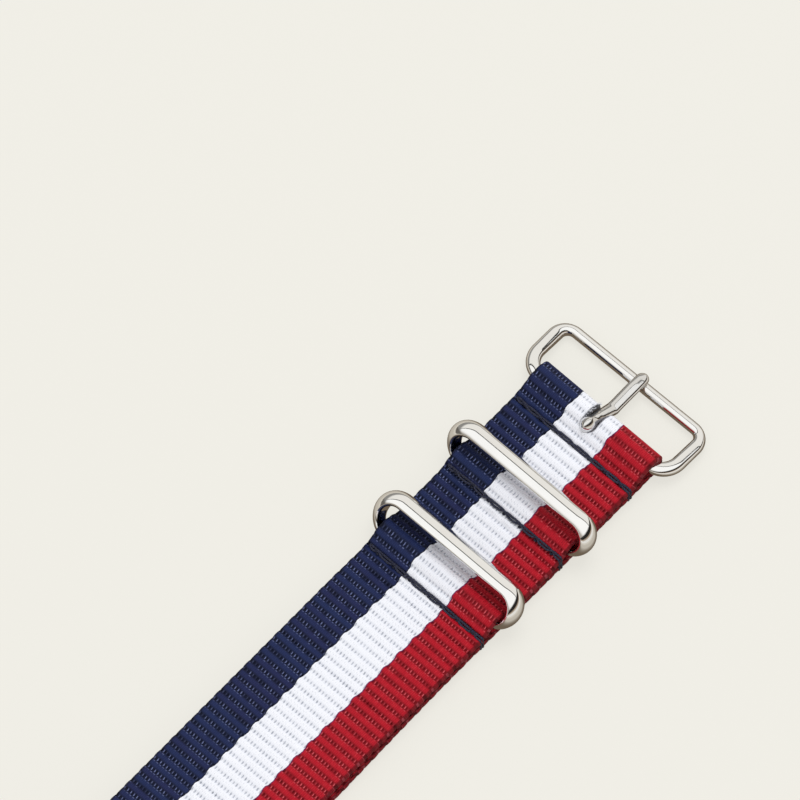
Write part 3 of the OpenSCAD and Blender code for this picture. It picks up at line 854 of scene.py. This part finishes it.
def frayFinish():
    finish, shade = newFinish("frayedEnds")
    along, turn = shade.value("twist").parts("XY")
    hair = shade.noise(shade.vector(along * 9, turn * 2))
    colour = shade.mix("#15161f", "#e6e8f1", (along + hair * 0.3).soft(0.2, 0.6))
    surface(shade, {"Base Color": colour, "Roughness": 0.5 + 0.2 * hair, "Sheen Weight": 0.1})
    return finish


def makeFray():
    luck = np.random.default_rng(fray["seed"])
    edge = webbing["slotY"] + webbing["slotHalf"] + 0.05
    u = np.linspace(0, 1, 9)
    tubes = []
    for n in range(fray["count"]):
        t0 = slotEnds[1] - fray["span"][0] + fray["span"][1] * (n + luck.random()) / fray["count"]
        base, normal = onPath(t0, "outer"), onPath(t0, "normal")
        along = np.array([normal[1], -normal[0]])
        long, aside, up = (luck.uniform(*fray[key]) for key in ("long", "aside", "up"))
        drift = luck.normal(0, fray["drift"])
        high = -0.12 + up * np.sin(u * np.pi * luck.uniform(*fray["bend"])) * 1.3
        place = base + along * (drift * u ** 1.5)[:, None] + normal * high[:, None]
        y = edge + aside * long * u + fray["curl"] * np.sin(u * 9)
        tubes.append(tubeMesh(inPart(place, y), fray["thick"] * (1.05 - 0.4 * u), 6))
    attach(joinTubes("slotFray", tubes, frayFinish()), ["head"], ["sewn_head"], "nylon_webbing")


makeFray()


# Buckle and keepers

def steelFinish(name, worn=0.0, dull=0.0):
    finish, shade = newFinish(name)
    spot = shade.node("TexCoord", {}, "Object")
    smear = shade.noise(spot, 260.0, 4.0)
    fine = shade.noise(spot, 1900.0, 2.0)
    scratch = shade.noise(shade.node("Mapping", {"Vector": spot, "Scale": (300, 9000, 2500)}))
    lines = (scratch - 0.5).soft(0.12, 0.2)
    rough = 0.045 + worn + (0.05 + worn * 0.5) * smear.soft(0.45, 0.75) + 0.06 * lines
    bright, grey = (tuple(part * (1 - dull) for part in tone) + (1,)
                    for tone in ((0.93, 0.925, 0.91), (0.86, 0.85, 0.83)))
    surface(shade, {"Base Color": shade.mix(bright, grey, smear), "Metallic": 1.0, "Roughness": rough,
                    "Normal": shade.bump(fine * 0.3 + smear - lines * 0.3, 0.00002, 0.12)})
    return finish


polishedSteel = steelFinish("polishedSteel")
wornSteel = steelFinish("wornSteel", 0.07, 0.14)
buckle = {  # places across and along it, and half widths of its bars
    "gap": 8.3, "drawnIn": 0.12, "armY": 11.8, "aside": 0.2, "turned": -0.9,
    "front": 0.755, "armHalf": 0.97, "rearHalf": 0.78, "rest": 0.95,
    "long": 1.0, "short": 0.82, "lean": (14.0, -16.0),  # the arms' section is an oval that turns a little
    "outerCorner": 3.7, "frontCorner": 3.0, "innerCorner": 0.8, "rearCorner": 2.2,
}
tilt = math.asin((foldR - buckle["rest"]) / buckle["gap"])


def tilted(x, y, z, at, c, s):
    return np.stack([at + x * c + z * s, y, barZ - x * s + z * c], -1)


def fromFrame(sections):  # the frame's own coordinates into the part's
    return tilted(*np.moveaxis(np.array(sections), -1, 0), barX, math.cos(tilt), math.sin(tilt))


def loft(name, sections, closed, finish, body, node):
    faces = ringFaces(*sections.shape[:2], closed)
    attach(addMesh(name, sections.reshape(-1, 3), *faces, finish), [body], [node], "polished_steel")


def smoothStep(u):
    u = np.clip(u, 0, 1)
    return u * u * (3 - 2 * u)


def makeFrame():
    armIn, armOut = buckle["armY"] - buckle["armHalf"], buckle["armY"] + buckle["armHalf"]
    gap = buckle["gap"] - buckle["drawnIn"]
    rearIn, frontIn = buckle["rearHalf"], gap - buckle["front"]
    rearOut, frontOut = -buckle["rearHalf"], gap + buckle["front"]
    ro, fo, rc, ri = (buckle[key + "Corner"] for key in ("outer", "front", "rear", "inner"))
    stations = []  # inner point, outer point, share of the arm's section
    for u in np.linspace(0, 1, 14):
        stations.append(((rearIn, (armIn - rc) * u), (rearOut, (armOut - ro) * u), 0.0))
    for a in np.linspace(0, 90, 26)[1:]:
        c, s = cosSin(a)
        stations.append(((rearIn + rc - rc * c, armIn - rc + rc * s), (rearOut + ro - ro * c, armOut - ro + ro * s),
                         smoothStep(a / 35)))
    for u in np.linspace(0, 1, 16)[1:-1]:
        stations.append(((rearIn + rc + (frontIn - ri - rearIn - rc) * u, armIn),
                         (rearOut + ro + (frontOut - fo - rearOut - ro) * u, armOut), 1.0))
    for a in np.linspace(0, 90, 30):
        c, s = cosSin(a)
        stations.append(((frontIn - ri + ri * s, armIn - ri + ri * c), (frontOut - fo + fo * s, armOut - fo + fo * c),
                         1 - smoothStep((a - 30) / 80)))
    for u in np.linspace(1, 0, 30)[1:]:
        stations.append(((frontIn, (armIn - ri) * u), (frontOut, (armOut - fo) * u),
                         (1 - smoothStep(0.75)) * smoothStep((u - 0.75) / 0.25)))
    stations += [((i[0], -i[1]), (o[0], -o[1]), w) for i, o, w in stations[-2:0:-1]]
    angles = roundAbout(36)
    sections = []
    for inner, outer, w in stations:
        inner, outer = np.array(inner), np.array(outer)
        middle, across = (inner + outer) / 2, (outer - inner) / 2
        width = np.linalg.norm(across)
        forward = smoothStep((middle[0] - 1.0) / (gap - 2.0))
        lean = -math.radians(buckle["lean"][0] * (1 - forward) + buckle["lean"][1] * forward) * w
        height = 0.75 + 0.03 * (1 - w)
        long, short = (height + (buckle[key] - height) * w for key in ("long", "short"))
        a = long * np.cos(angles) * math.cos(lean) - short * np.sin(angles) * math.sin(lean)
        b = long * np.cos(angles) * math.sin(lean) + short * np.sin(angles) * math.cos(lean)
        a = a / np.abs(a).max() * width
        x, y = (middle + a[:, None] * (across / width)).T
        c, s = cosSin(buckle["turned"])
        sections.append(np.stack([x * c + y * s, y * c - x * s + buckle["aside"], b], -1))
    loft("buckleFrame", fromFrame(sections), True, polishedSteel, "frame", "buckle_frame")


makeFrame()

tongue = {
    "ring": 1.3, "ball": 2.3, "ballAt": 136.0,  # its ring swells into a ball over the slot
    "line": ((0.0, 1.42), (2.95, 0.40), (7.0, 1.32), (8.25, 1.38), (9.3, 1.1)),
    "y": (0.0, -0.16, -0.4, -0.46, -0.46, -0.46),
    "width": (0.7, (0, -1.5, 0.78), (0, -0.4, 1.24), (0, 0.4, 1.24), (0, 1.3, 0.92), (2, 0, 1.05), (2, 0.5, 1.0),
              (3, 0, 1.02), (5, 0, 0.94)),  # at the start, then at a knot of the line and so far past it
    "thick": (0.38, (0, -1.7, 0.42), (0, -0.4, 1.16), (0, 0.4, 1.16), (0, 1.3, 0.68), (1, 0.6, 0.56), (2, 0, 0.57),
              (5, 0, 0.52)),
    "facet": (0.65, (0, 0.4, 0.65), (1, 0, 0.6), (2, 0, 0.56), (4, 0, 0.6), (5, 0, 0.65)),
    "blunt": (2.0, (0, 0.4, 2.0), (0, 1.0, 2.1), (2, -0.2, 2.4), (2, 0.2, 2.3), (4, 0, 2.3), (5, 0, 2.1)),
}


def makeTongue():
    line = []
    for a in np.append(np.arange(-20, tongue["ballAt"] - 360, -5.0), tongue["ballAt"] - 360):
        radius = tongue["ring"] + (tongue["ball"] - tongue["ring"]) * smoothStep((-150 - a) / 75)
        line.append(tuple(radius * part for part in cosSin(a)))
    ball = len(line) - 1
    knots = [np.array(k) for k in (line[-1], *tongue["line"])]
    for p, q in zip(knots, knots[1:]):
        count = int(np.linalg.norm(q - p) / 0.16) + 1
        line += [tuple(p + (q - p) * u) for u in np.linspace(0, 1, count + 1)[1:]]
    line = np.array(line)
    for turn in range(3):
        line[ball - 3:-1] = (line[ball - 4:-2] + 2 * line[ball - 3:-1] + line[ball - 2:]) / 4
    along, gone = followed(line)
    lift = np.stack([-along[:, 1], along[:, 0]], 1)
    at = [gone[np.argmin(np.abs(line - k).sum(1))] for k in knots]
    width, thick, facet, blunt = (
        np.interp(gone, [0] + [at[k] + past for k, past, _ in rows], [first] + [value for _, _, value in rows])
        for first, *rows in (tongue[key] for key in ("width", "thick", "facet", "blunt")))
    ends = np.stack([(gone - at[5] + 0.75) / 0.76, (0.5 - gone) / 0.51])  # how far into its rounded ends
    ending, begin = np.sqrt(np.clip(1 - np.clip(ends, 0, 1) ** 2, 0.0004, 1))
    yMiddle = np.interp(gone, at, tongue["y"])
    angles = roundAbout(40)
    c, s = np.cos(angles), np.sin(angles)
    sections = []
    for i in range(len(line)):
        planes = [(s, facet[i] + 0.35), ((s + np.abs(c)) / math.sqrt(2), 0.93), (np.abs(c), 1.0), (-s, 0.95)]
        r = 1 / (sum((np.maximum(p, 0) / d) ** blunt[i] for p, d in planes)) ** (1 / blunt[i])
        y = r * c * width[i] * ending[i] * begin[i]
        z = r * s * thick[i] * ending[i] * begin[i]
        spot = line[i] + lift[i] * z[:, None]
        sections.append(np.stack([spot[:, 0], y + yMiddle[i], spot[:, 1]], -1))
    loft("buckleTongue", fromFrame(sections)[:, ::-1], False, wornSteel, "tongue", "buckle_tongue")


makeTongue()

keeper = {
    "straight": 17.3, "round": 2.0, "high": 4.0, "width": 2.5, "deep": 1.0, "soft": 0.22, "edge": 0.06,
    "leans": (33.0, 45.0, 0.0), "aside": (0.05, 0.3, 0.0), "taller": (0.1, 0.3, 0.0),
    "fuller": (1.28, 1.4, 1.28), "shift": (0.0, -0.15, 0.0), "deeper": 0.72,  # the wire is fuller in the upper bar
}


def makeKeeper(number):
    h, r = keeper["straight"] / 2, keeper["round"]
    aside, taller, fuller, shift, lean = (keeper[key][number - 1]
                                          for key in ("aside", "taller", "fuller", "shift", "leans"))
    loop = []  # the flat inner side: place and the way outward
    for side, level, start in ((1.0, 0.0, -90), (-1.0, keeper["high"], 90)):
        for y in np.linspace(-side * h, side * h, 12):
            loop.append((y, level, 0.0, -side))
        for a in np.linspace(start, start + 180, 30)[1:-1]:
            c, s = cosSin(a)
            loop.append((side * h + r * c, r + r * s, c, s))
    half, deep, soft = keeper["width"] / 2, keeper["deep"], keeper["soft"]
    bow = np.radians(np.linspace(8, 172, 26))
    edge = keeper["edge"]
    profile = np.concatenate([np.stack([half * np.cos(bow), edge + (deep - edge) * np.sin(bow)], -1),
                              np.stack([(half - soft) * np.linspace(-1, 1, 9), np.zeros(9)], -1)])
    c, s = cosSin(lean)
    at = barX - keeperAt[number - 1]
    sections = []
    for y, z, oy, oz in loop:
        full = smoothStep(z / keeper["high"])
        px = profile[:, 0] * (1 + (fuller - 1) * full) + shift * full
        out = profile[:, 1] * (1 + keeper["deeper"] / deep * full)
        py, pz = y + oy * out + aside, z + oz * out + taller * full
        sections.append(tilted(px, py, pz, at, c, s))
    loft("keeperLoop_%d" % number, np.array(sections)[:, ::-1], True, polishedSteel,
         "keeper_%d" % number, "keeper_%d" % number)


for number in (1, 2, 3):
    makeKeeper(number)
print("buckle and keepers are made")
